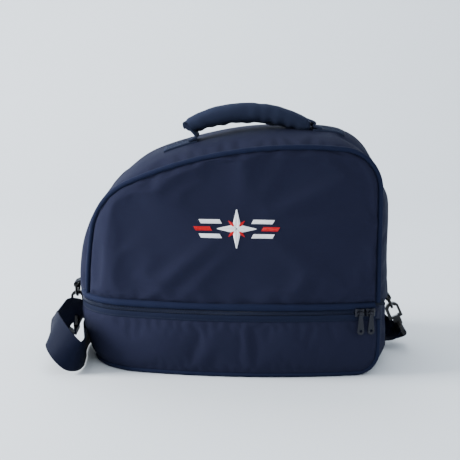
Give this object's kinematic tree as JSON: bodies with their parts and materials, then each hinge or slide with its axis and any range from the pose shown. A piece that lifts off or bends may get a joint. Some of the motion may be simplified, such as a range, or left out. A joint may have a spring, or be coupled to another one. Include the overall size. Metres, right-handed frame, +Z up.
{
  "type": "two-compartment carry bag",
  "caption": "Arched padded carry bag: upper shell hinged on a zipped lower tray, zipped back door, padded swinging grip, piping, and a shoulder strap on swivel snap hooks.",
  "frame": {"origin": "on the floor under the middle of the body", "axes": "+X towards the square end, -X towards the rounded tip, -Y the front face, +Z up"},
  "size_m": [0.4358, 0.2794, 0.3086],
  "materials": {
    "shell_cloth": "woven polyester, navy",
    "trim_cloth": "ribbed webbing and bound piping, near black",
    "board": "stiff board",
    "foam": "soft foam",
    "coil": "nylon coil",
    "tape": "fine herringbone zip tape",
    "hardware": "black nickel, worn at the edges",
    "strap_web": "ribbed webbing, navy",
    "buckle": "moulded black plastic"
  },
  "bodies": {
    "tray": {"base_panel": "shell_cloth", "base_board": "board", "lower_wall": "shell_cloth", "lower_end_wall": "shell_cloth", "lower_piping": "trim_cloth", "lower_tape_bottom": "tape", "lower_coil_bottom": "coil", "lower_zip_stops": "trim_cloth", "tab_right": "trim_cloth", "strap": "strap_web", "strap_adjuster": "buckle"},
    "shell": {"front_panel": "shell_cloth", "gusset": "shell_cloth", "divider": "shell_cloth", "front_piping": "trim_cloth", "lower_tape_top": "tape", "lower_coil_top": "coil", "door_tape_fixed": "tape", "door_coil_fixed": "coil", "door_zip_stops": "hardware", "handle_tail_left": "trim_cloth", "handle_tail_right": "trim_cloth", "tab_left": "trim_cloth"},
    "door": {"door_panel": "shell_cloth", "door_piping": "trim_cloth", "door_tape": "tape", "door_coil": "coil"},
    "handle": {"handle_grip": "trim_cloth", "handle_core": "foam", "handle_webbing": "trim_cloth"},
    "front_slider": {"front_slider": "hardware"},
    "front_pull": {"front_pull": "hardware"},
    "corner_slider": {"corner_slider": "hardware"},
    "corner_pull": {"corner_pull": "hardware"},
    "door_slider": {"door_slider": "hardware"},
    "door_pull": {"door_pull": "hardware"},
    "ring_left": {"ring_left": "hardware"},
    "hook_left": {"hook_left": "hardware"},
    "gate_left": {"gate_left": "hardware"},
    "eye_left": {"eye_left": "hardware", "strap_end_left": "strap_web"},
    "ring_right": {"ring_right": "hardware"},
    "hook_right": {"hook_right": "hardware"},
    "gate_right": {"gate_right": "hardware"},
    "eye_right": {"eye_right": "hardware", "strap_end_right": "strap_web"}
  },
  "joints": [
    {"name": "lid_hinge", "type": "hinge", "parent": "tray", "child": "shell", "pos_m": [0.18544, 0, 0.07515], "axis": [0, 1, 0], "range_deg": [0, 90], "deforming": ["strap"]},
    {"name": "door_hinge", "type": "hinge", "parent": "shell", "child": "door", "pos_m": [0, 0.116, 0.0808], "axis": [-1, 0, 0], "range_deg": [0, 90]},
    {"name": "handle_swing", "type": "hinge", "parent": "shell", "child": "handle", "pos_m": [-0.043, -0.04, 0.26506], "axis": [0.9945, 0, 0.105], "range_deg": [-38, 38]},
    {"name": "front_slider_slide", "type": "hinge", "parent": "tray", "child": "front_slider", "pos_m": [0.04804, 0.485, 0.07515], "axis": [0, 0, -1], "range_deg": [0, 22]},
    {"name": "front_pull_swing", "type": "hinge", "parent": "front_slider", "child": "front_pull", "pos_m": [0.14595, -0.11263, 0.07515], "axis": [-0.9868, -0.1617, 0], "range_deg": [0, 85]},
    {"name": "corner_slider_slide", "type": "hinge", "parent": "tray", "child": "corner_slider", "pos_m": [0.04804, 0.485, 0.07515], "axis": [0, 0, -1], "range_deg": [0, 0.08]},
    {"name": "corner_pull_swing", "type": "hinge", "parent": "corner_slider", "child": "corner_pull", "pos_m": [0.15806, -0.11052, 0.07515], "axis": [-0.9834, -0.1817, 0], "range_deg": [0, 85]},
    {"name": "door_slider_slide", "type": "slide", "parent": "shell", "child": "door_slider", "axis": [0, 0, 1], "range_m": [0, 0.1]},
    {"name": "door_pull_swing", "type": "hinge", "parent": "door_slider", "child": "door_pull", "pos_m": [0.17144, 0.09021, 0.0957], "axis": [0, -1, 0], "range_deg": [0, 85]},
    {"name": "ring_left_swing", "type": "hinge", "parent": "shell", "child": "ring_left", "pos_m": [-0.19246, 0.024, 0.0802], "axis": [0, 1, 0], "range_deg": [0, 90], "deforming": ["strap"]},
    {"name": "hook_left_swing", "type": "hinge", "parent": "ring_left", "child": "hook_left", "pos_m": [-0.19246, 0.024, 0.0652], "axis": [0, 1, 0], "range_deg": [0, 60], "deforming": ["strap"]},
    {"name": "gate_left_open", "type": "hinge", "parent": "hook_left", "child": "gate_left", "pos_m": [-0.19946, 0.024, 0.0521], "axis": [0, 1, 0], "range_deg": [0, 25], "stiffness_Nm_per_rad": 0.02},
    {"name": "eye_left_swivel", "type": "hinge", "parent": "hook_left", "child": "eye_left", "pos_m": [-0.19246, 0.024, 0.0452], "axis": [0, 0, 1], "range_deg": [-20, 20], "deforming": ["strap"]},
    {"name": "ring_right_swing", "type": "hinge", "parent": "tray", "child": "ring_right", "pos_m": [0.19404, 0.024, 0.06315], "axis": [0, -1, 0], "range_deg": [-10, 45], "deforming": ["strap"]},
    {"name": "hook_right_swing", "type": "hinge", "parent": "ring_right", "child": "hook_right", "pos_m": [0.20014, 0.024, 0.04945], "axis": [0, -1, 0], "range_deg": [0, 40], "deforming": ["strap"]},
    {"name": "gate_right_open", "type": "hinge", "parent": "hook_right", "child": "gate_right", "pos_m": [0.21187, 0.024, 0.04033], "axis": [0, -1, 0], "range_deg": [0, 25], "stiffness_Nm_per_rad": 0.02},
    {"name": "eye_right_swivel", "type": "hinge", "parent": "hook_right", "child": "eye_right", "pos_m": [0.20014, 0.024, 0.04945], "axis": [-0.4067, 0, 0.9135], "range_deg": [-20, 20], "deforming": ["strap"]}
  ]
}
